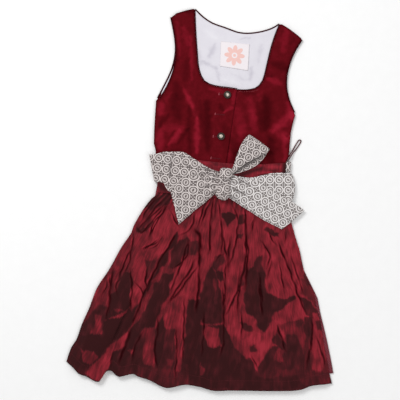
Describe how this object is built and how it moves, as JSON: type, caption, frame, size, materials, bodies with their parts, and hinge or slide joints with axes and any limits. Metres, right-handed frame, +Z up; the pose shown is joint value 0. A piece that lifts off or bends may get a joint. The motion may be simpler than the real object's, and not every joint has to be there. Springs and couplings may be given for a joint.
{
  "type": "dirndl dress",
  "caption": "Sleeveless folk dress laid flat on its back: velvet bodice, gathered skirt and a full apron whose ties are wound round the waist into a bow",
  "frame": {"origin": "on the surface the dress lies on, under the middle of its outline", "axes": "+X to the wearer's left (right in the picture), +Y from hem to neck, +Z up, away from the surface"},
  "size_m": [0.668, 0.9525, 0.033],
  "materials": {
    "velvet": "dark wine red cotton velvet, nap running down",
    "lining": "white plain-weave cotton lining",
    "piping": "near-black wine satin piping and ribbon",
    "taffeta": "wine red shot taffeta, crisp, with a soft two-coloured sheen",
    "dotted_cotton": "crimson cotton with small pale dots",
    "jacquard": "pale grey and ivory jacquard with small staggered ring medallions",
    "pewter": "antiqued pewter-look metal",
    "label": "white woven label"
  },
  "bodies": {
    "root": {"bodice_back": "velvet", "back_lining": "lining", "bodice_front_right": "velvet", "bodice_front_left": "velvet", "neck_piping_back": "piping", "neck_piping_front_right": "piping", "neck_piping_front_left": "piping", "armhole_piping_front_right": "piping", "armhole_piping_front_left": "piping", "armhole_piping_back_right": "piping", "armhole_piping_back_left": "piping", "label": "label", "button_1": "pewter", "button_2": "pewter", "skirt_back": "dotted_cotton", "skirt_front": "dotted_cotton", "apron": "taffeta", "apron_waistband": "taffeta", "tie_under_back": "jacquard", "tie_wrap_right": "jacquard", "tie_wrap_left": "jacquard", "tie_stub": "jacquard", "bow_tail_right": "jacquard", "bow_tail_left": "jacquard", "bow_loop": "jacquard", "bow_knot": "jacquard", "hanger_loop": "piping"}
  },
  "joints": []
}
